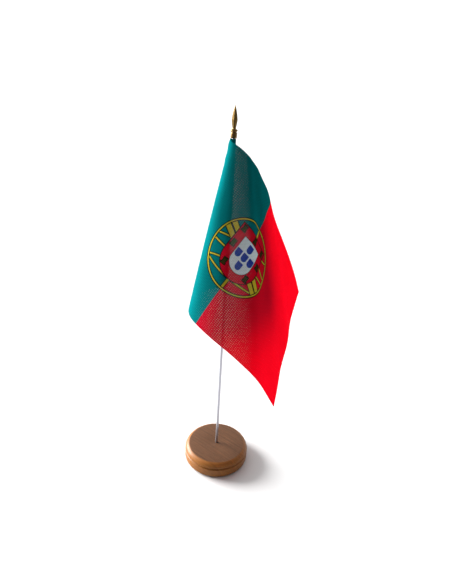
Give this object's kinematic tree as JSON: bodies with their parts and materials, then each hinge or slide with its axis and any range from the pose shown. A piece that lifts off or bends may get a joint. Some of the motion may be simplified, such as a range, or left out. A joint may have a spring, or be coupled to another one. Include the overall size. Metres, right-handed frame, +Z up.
{
  "type": "desk flag stand",
  "caption": "Turned wooden disc base with a thin steel wire pole, a spear finial and a small draped rectangular cloth flag hanging from a sleeve on the pole.",
  "frame": {"origin": "middle of the base's underside, on the pole's axis", "axes": "+Z up along the pole, the front is -Y, +X to the right seen from the front"},
  "size_m": [0.0854, 0.0956, 0.276],
  "materials": {
    "varnished_wood": "satin varnish over a straight-grained medium-brown wood",
    "steel_wire": "bright drawn wire",
    "antique_gold": "antique gold, satin",
    "flag_cloth": "thin knitted polyester, printed",
    "sleeve_cloth": "thin knitted polyester, dyed green",
    "thread": "fine sewing thread"
  },
  "bodies": {
    "base": {"wooden_base": "varnished_wood"},
    "pole": {"pole_wire": "steel_wire", "spear_finial": "antique_gold"},
    "flag": {"flag_cloth": "flag_cloth", "hoist_sleeve": "sleeve_cloth", "sleeve_thread": "thread"}
  },
  "joints": [
    {"name": "pole_lift", "type": "slide", "parent": "base", "child": "pole", "axis": [0, 0, 1], "range_m": [0, 0.02]},
    {"name": "flag_turn", "type": "hinge", "parent": "pole", "child": "flag", "pos_m": [0, 0, 0.2], "axis": [0, 0, 1], "continuous": true}
  ]
}
